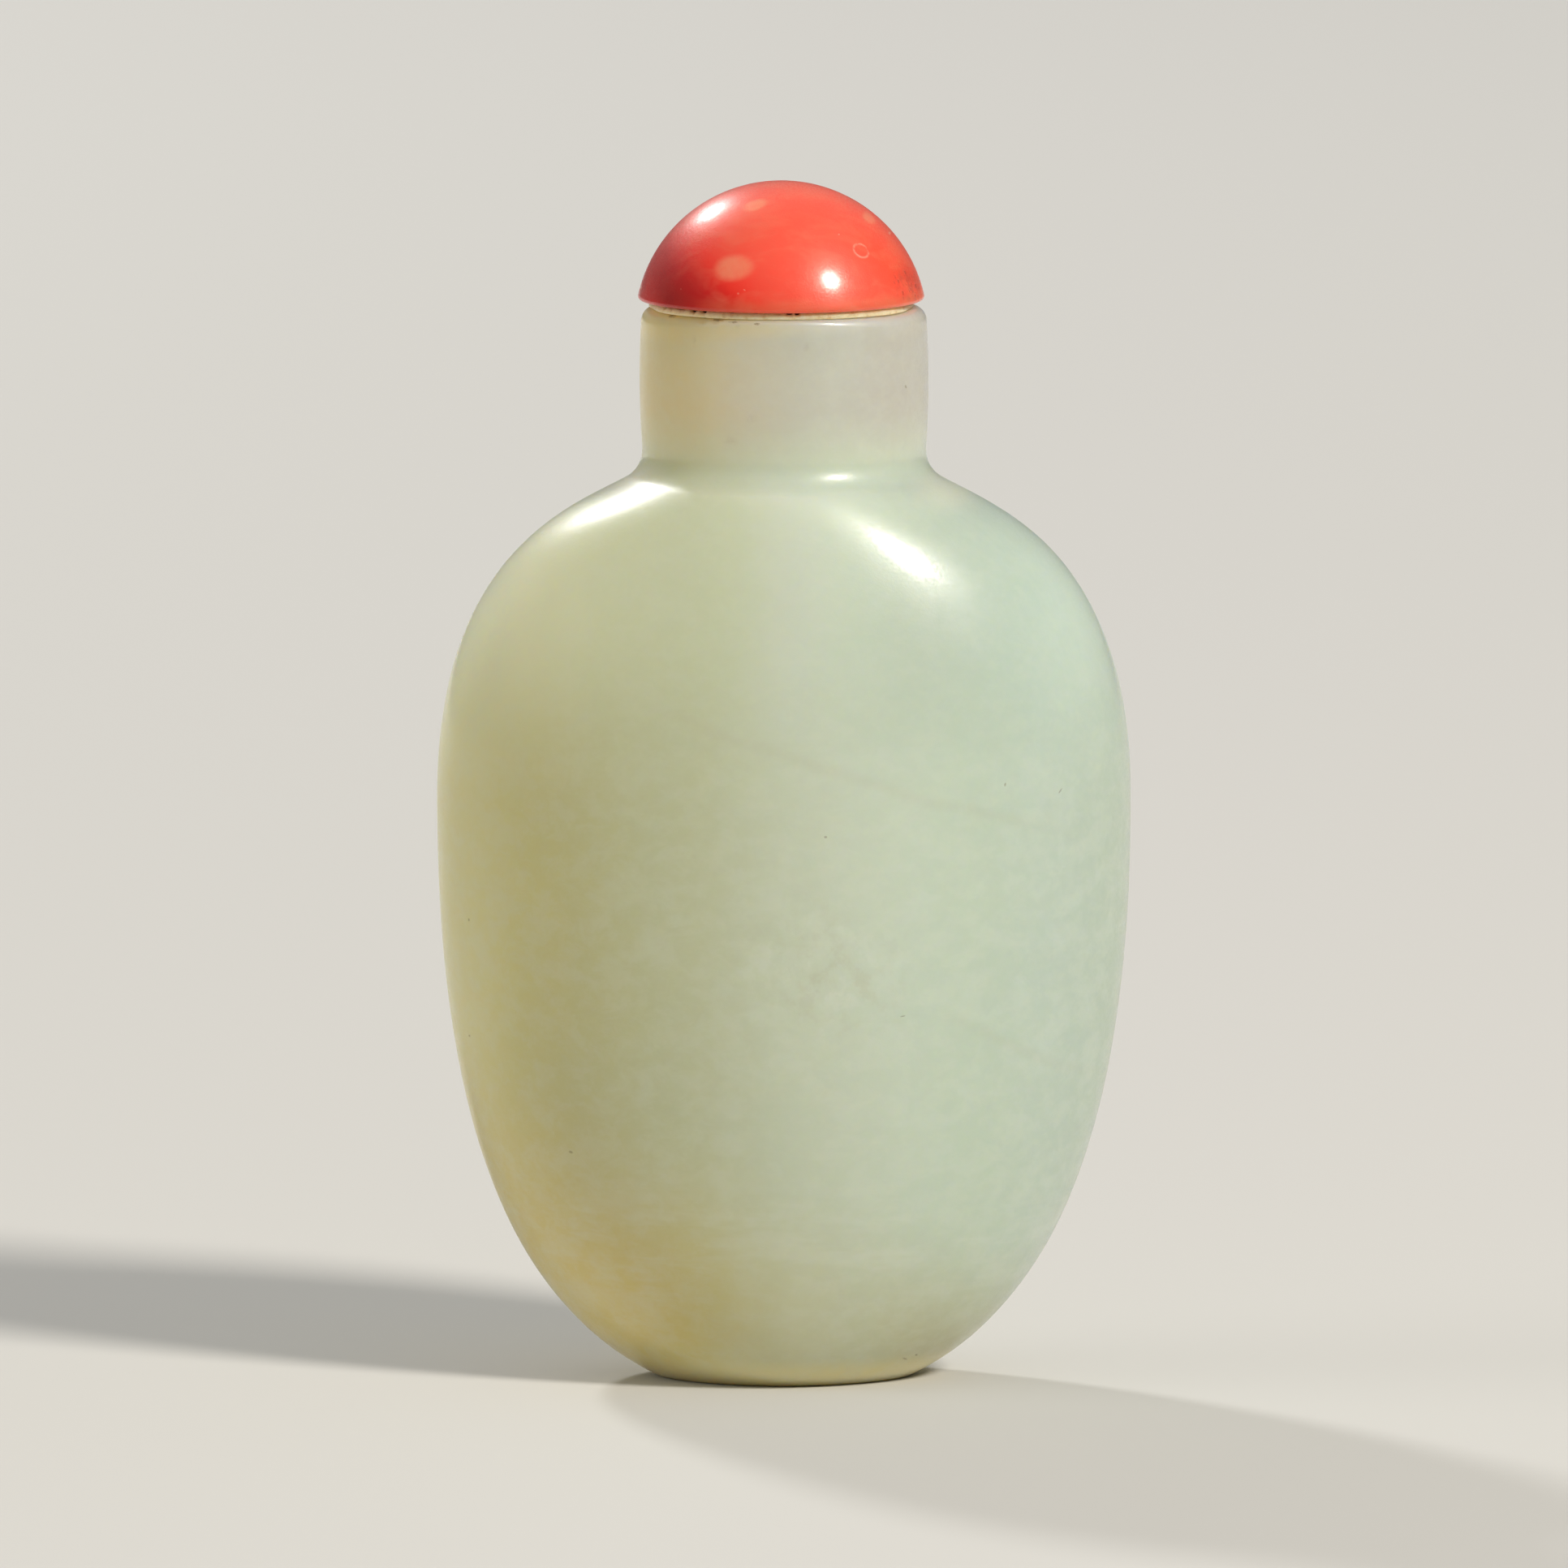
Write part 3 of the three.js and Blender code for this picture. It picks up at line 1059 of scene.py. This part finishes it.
@dataclass
class CoralCap(Piece):
    """The coral dome, in millimetres."""

    edge: float = 0.2
    sphere_radius: float = 8.2
    # The smallest ring under the dome, and how far up the sphere its last ring is.
    under_middle: float = 0.5
    crown_angle: float = math.radians(89.3)
    sectors: int = 256
    under_points: int = 12
    edge_steps: int = 8
    dome_steps: int = 110

    def build(self) -> None:
        """Make the dome and dress it."""
        low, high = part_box(self.node)
        middle = middle_of(self.node)
        base, height = low.z / MM, (high.z - low.z) / MM
        centre = (0.0, height - self.sphere_radius)
        edge_angle = math.asin((self.edge - centre[1]) / (self.sphere_radius - self.edge))
        edge_centre = polar(centre, self.sphere_radius - self.edge, edge_angle)
        under = np.linspace((self.under_middle, 0), (edge_centre[0], 0), self.under_points)
        profile = chain(
            under,
            arc(edge_centre, self.edge, -math.pi / 2, edge_angle, self.edge_steps),
            arc(centre, self.sphere_radius, edge_angle, self.crown_angle, self.dome_steps),
        )
        turn = np.linspace(0, 2 * math.pi, self.sectors, endpoint=False)
        radius, upright = profile[:, :1], np.repeat(base + profile[:, 1:], self.sectors, 1)
        rings = np.stack([middle + radius * np.cos(turn), radius * np.sin(turn), upright], -1)
        first = Vector((middle, 0, base)) * MM
        last = Vector((middle, 0, base + height)) * MM
        self.dress(closed_loft("coral_cap", rings * MM, first, last))


@dataclass(frozen=True)
class Break:
    """A break in the washer's upper edge: degrees round from the front, and millimetres in and down."""

    azimuth: float
    half_width: float
    far: float
    down: float


@dataclass
class CorkPlug(Piece):
    """The cork plug and the thin washer that the cap sits on, in millimetres."""

    seat_thickness: float = 0.37
    sectors: int = 720
    # The plug's tip, as radius and height above its lowest point; then its radius half way up and
    # under the washer.
    tip: tuple[Span, ...] = ((0.8, 0.0), (2.65, 0.0), (2.95, 0.12), (3.05, 0.4))
    half_way_radius: float = 3.18
    top_radius: float = 3.3
    # How far the washer stands out past the plain one, at the back and further at the front, and
    # the angles in radians between which the front gives way to the back.
    stand_out: float = 0.36
    front_out: float = 0.37
    front_ends: Span = (1.4, 0.9)
    # Its edge waves slowly and is a little rough. Both are read off a circle of this radius.
    wave: float = 0.04
    roughness: float = 0.015
    rim_radius: float = 7.0
    # How far any of its upper edge is rubbed in and down.
    rubbed_in: float = 0.04
    rubbed_down: float = 0.02
    breaks: tuple[Break, ...] = (
        Break(-58.5, 2.6, 0.5, 0.14), Break(-53.0, 1.8, 0.4, 0.1), Break(-47.0, 4.5, 0.3, 0.05),
        Break(-39.5, 2.8, 0.5, 0.17), Break(-34.5, 2.4, 0.5, 0.15), Break(-21.4, 1.3, 0.3, 0.06),
        Break(-10.3, 1.0, 0.25, 0.05), Break(3.6, 1.8, 0.5, 0.11), Break(6.8, 1.6, 0.5, 0.13),
        Break(96.0, 6.0, 0.5, 0.12), Break(168.0, 9.0, 0.6, 0.16), Break(215.0, 5.0, 0.4, 0.1),
    )
    pit_depth: float = 0.12
    pit_size: float = 0.7

    def dark_fill(self, seat: float, top: float, aside: float) -> tuple[Mark, ...]:
        """Where the breaks are darkened, a little wider than they are.

        Args:
            seat: The plain washer's radius.
            top: The height of its upper face.
            aside: How far it stands off the axis.

        Returns:
            A mark for each break.
        """
        marks = []
        for chip in self.breaks:
            angle, reach = math.radians(chip.azimuth), seat + 0.4 - chip.far * 0.5
            spread = max(seat * math.radians(chip.half_width), 0.5 * chip.far) * 1.25
            middle = (reach * math.sin(angle) + aside, -reach * math.cos(angle), top - chip.down * 0.35)
            marks.append(Mark(middle, (spread, spread, chip.down)))
        return tuple(marks)

    def build(self) -> None:
        """Make the plug and dress it."""
        low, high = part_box(self.node)
        tip, top, seat = low.z / MM, high.z / MM, high.x / MM
        aside = middle_of("stopper_cap")
        turn = np.linspace(-math.pi, math.pi, self.sectors, endpoint=False)
        across = np.stack([np.sin(turn), -np.cos(turn), np.zeros(self.sectors)], -1)
        rim = across * self.rim_radius
        rough = ripple(rim, size=0.2, shift=2.0)
        front = fade(np.abs(turn), *self.front_ends)
        outer = seat + self.stand_out + self.front_out * front
        outer = outer + self.wave * ripple(rim, size=1.3, shift=2.0) + self.roughness * rough
        inset, drop = self.rubbed_in, self.rubbed_down
        for chip in self.breaks:
            away = np.abs((np.degrees(turn) - chip.azimuth + 180) % 360 - 180) / chip.half_width
            depth = fade(away + 0.45 * rough, 1.0, 0.5)
            inset, drop = np.maximum(inset, chip.far * depth), np.maximum(drop, chip.down * depth)
        base = top - self.seat_thickness
        # Radius and height of every ring, from the plug's tip to the middle of the washer.
        stations = [
            *((radius, tip + rise) for radius, rise in self.tip),
            (self.half_way_radius, (tip + base) / 2),
            (self.top_radius, base),
            (seat - 0.5, base),
            (outer, base),
            (outer + 0.04, base + 0.05),
            (outer - 0.06, top - drop),
            (outer - 0.06 - inset, top - drop),
            (outer - 0.08 - inset, top),
            (1.0, top),
        ]
        radii, heights = (
            np.array([np.broadcast_to(value, self.sectors) for value in row]) for row in zip(*stations)
        )
        rings = across * radii[..., None] + np.array([0, 0, 1]) * heights[..., None]
        # The washer stands off the axis with the cap.
        rings[len(self.tip) + 2 :, :, 0] += aside
        # Cork is never quite smooth: its cells leave pits along the plug.
        shank = fade(heights, base, base - 0.5) * fade(heights, tip - 0.2, tip + 0.3)
        pits = self.pit_depth * (0.5 + 0.5 * ripple(rings, self.pit_size, shift=4.0))
        rings -= across * (shank * pits)[..., None]
        self.finish = replace(self.finish, breaks=self.dark_fill(seat, top, aside))
        self.dress(closed_loft("cork_plug", rings * MM, (0, 0, tip * MM), (0, 0, top * MM)))


# ---- Studio ----


@dataclass(frozen=True)
class Softbox:
    """A round soft light: the direction it stands in, its diameter in metres, watts and sRGB colour."""

    name: str
    towards: tuple[float, float, float]
    size: float
    watts: float
    colour: str = "#ffffff"
    mirrored: bool = True


@dataclass
class Studio:
    """The floor, the lights and the camera."""

    floor_colour: str = "#cfcdc8"
    floor_half: float = 6.0
    target_height: float = 33.38 * MM
    camera_distance: float = 1.5
    camera_height: float = 0.2155
    view_width: float = 87.8 * MM
    sensor_width: float = 36.0
    light_distance: float = 1.6
    # A key light at the front right, a rim light behind the left shoulder, and a fill that is
    # feathered so wide that the polish shows no image of it.
    softboxes: tuple[Softbox, ...] = (
        Softbox("key", (0.592, -0.506, 0.627), 0.32, 23.0, "#fffaf2"),
        Softbox("rim", (-0.379, 0.727, 0.573), 0.18, 10.0),
        Softbox("fill", (-0.85, -0.15, 0.35), 1.0, 4.0, mirrored=False),
    )
    tent_colour: str = "#f4f4f2"
    horizon: float = 0.14
    zenith: float = 0.42

    def floor(self) -> None:
        """A plain pale floor, far wider than any view."""
        mesh = bpy.data.meshes.new("floor")
        half = self.floor_half
        corners = [(-half, -half, 0), (half, -half, 0), (half, half, 0), (-half, half, 0)]
        mesh.from_pydata(corners, [], [(0, 1, 2, 3)])
        # Matt background paper, which gives soft shadows and no reflection.
        material = bpy.data.materials.new("floor_paper")
        material.use_nodes = True
        surface = material.node_tree.nodes["Principled BSDF"]
        feed(surface, {"Base Color": linear(self.floor_colour), "Roughness": 0.9, "Specular IOR Level": 0.1})
        mesh.materials.append(material)
        put("floor", mesh)

    def hang(self, box: Softbox) -> None:
        """Hang a light and aim it at the object.

        Args:
            box: The light.
        """
        data = bpy.data.lights.new(box.name, "AREA")
        data.shape = "DISK"
        data.size = box.size
        data.energy = box.watts
        data.color = linear(box.colour)[:3]
        lamp = put(box.name, data)
        direction = Vector(box.towards).normalized()
        lamp.location = Vector((0, 0, self.target_height)) + direction * self.light_distance
        aim(lamp, direction, "Z")
        lamp.visible_glossy = box.mirrored

    def tent(self) -> None:
        """A tent of light overhead that thins towards the horizon, so edges keep their depth."""
        world = bpy.data.worlds.new("studio")
        world.use_nodes = True
        tree = world.node_tree
        place = add_node(tree, "ShaderNodeTexCoord", {}).outputs["Generated"]
        up = add_node(tree, "ShaderNodeSeparateXYZ", {0: place}).outputs["Z"]
        strength = Level(up).ease(0.0, 0.9, self.horizon, self.zenith)
        feed(tree.nodes["Background"], {"Color": linear(self.tent_colour), "Strength": strength})
        bpy.context.scene.world = world

    def camera(self) -> None:
        """A long lens that looks a little down on the middle of the object."""
        data = bpy.data.cameras.new("camera")
        eye = Vector((0, -self.camera_distance, self.camera_height))
        sight = Vector((0, 0, self.target_height)) - eye
        data.sensor_width = self.sensor_width
        data.lens = data.sensor_width * sight.length / self.view_width
        data.clip_start, data.clip_end = 0.05, 50
        camera = put("camera", data)
        camera.location = eye
        aim(camera, sight, "-Z")
        bpy.context.scene.camera = camera

    def build(self) -> None:
        """Set up the floor, lights, camera and a neutral print of the colours."""
        self.floor()
        for box in self.softboxes:
            self.hang(box)
        self.tent()
        self.camera()
        bpy.context.scene.view_settings.view_transform = "Standard"
        log.info("studio: %d softboxes", len(self.softboxes))


def main() -> None:
    """Build the object and its studio in order."""
    logging.basicConfig(level=logging.INFO, format="%(name)s %(message)s")
    JadeBody("bottle", "jade", CeladonNephrite()).build()
    CoralCap("stopper_cap", "coral", PreciousCoral()).build()
    CorkPlug("stopper_cork", "cork", OldCorkAndWax()).build()
    Studio().build()


if __name__ == "__main__":
    main()
